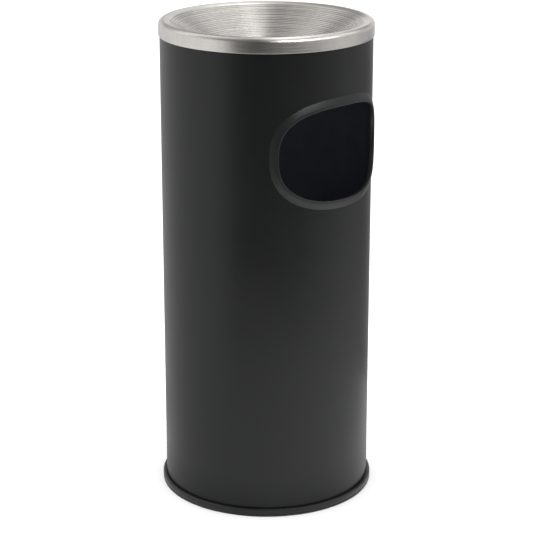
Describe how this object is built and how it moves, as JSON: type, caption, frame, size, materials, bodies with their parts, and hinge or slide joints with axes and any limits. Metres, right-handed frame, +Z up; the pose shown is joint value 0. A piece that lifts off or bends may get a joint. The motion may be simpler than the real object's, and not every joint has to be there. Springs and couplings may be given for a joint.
{
  "type": "ashtray bin",
  "caption": "Round steel litter bin with a side waste opening, a lift-off ridged ash dish on top, a moulded foot ring and a removable liner bucket with a bail handle.",
  "frame": {"origin": "centre of the foot ring's underside, on the floor", "axes": "+Z up along the bin's axis; the waste opening faces -Y; +X to the right seen from the front"},
  "size_m": [0.2586, 0.2586, 0.576],
  "materials": {
    "black_coat": "satin black powder coat",
    "black_plastic": "satin moulded black",
    "stainless": "spun satin stainless",
    "galvanised": "galvanised sheet",
    "zinc_wire": "bright zinc plate"
  },
  "bodies": {
    "bin_body": {"body_shell": "black_coat", "floor_plate": "black_coat", "foot_ring": "black_plastic", "opening_trim": "black_plastic"},
    "liner": {"liner_wall": "galvanised", "liner_floor": "galvanised", "liner_rim_wire": "zinc_wire", "ear_left": "galvanised", "ear_right": "galvanised", "ear_rivet_left_back": "zinc_wire", "ear_rivet_left_front": "zinc_wire", "ear_rivet_right_back": "zinc_wire", "ear_rivet_right_front": "zinc_wire"},
    "bail_handle": {"bail": "zinc_wire", "bail_grip": "black_plastic"},
    "dish": {"ash_dish": "stainless"}
  },
  "joints": [
    {"name": "liner_lift", "type": "slide", "parent": "bin_body", "child": "liner", "axis": [0, 0, 1], "range_m": [0, 0.58]},
    {"name": "bail_swing", "type": "hinge", "parent": "liner", "child": "bail_handle", "pos_m": [0, 0, 0.2988], "axis": [1, 0, 0], "range_deg": [0, 177.7]},
    {"name": "dish_lift", "type": "slide", "parent": "liner", "child": "dish", "axis": [0, 0, 1], "range_m": [0, 0.15]}
  ]
}
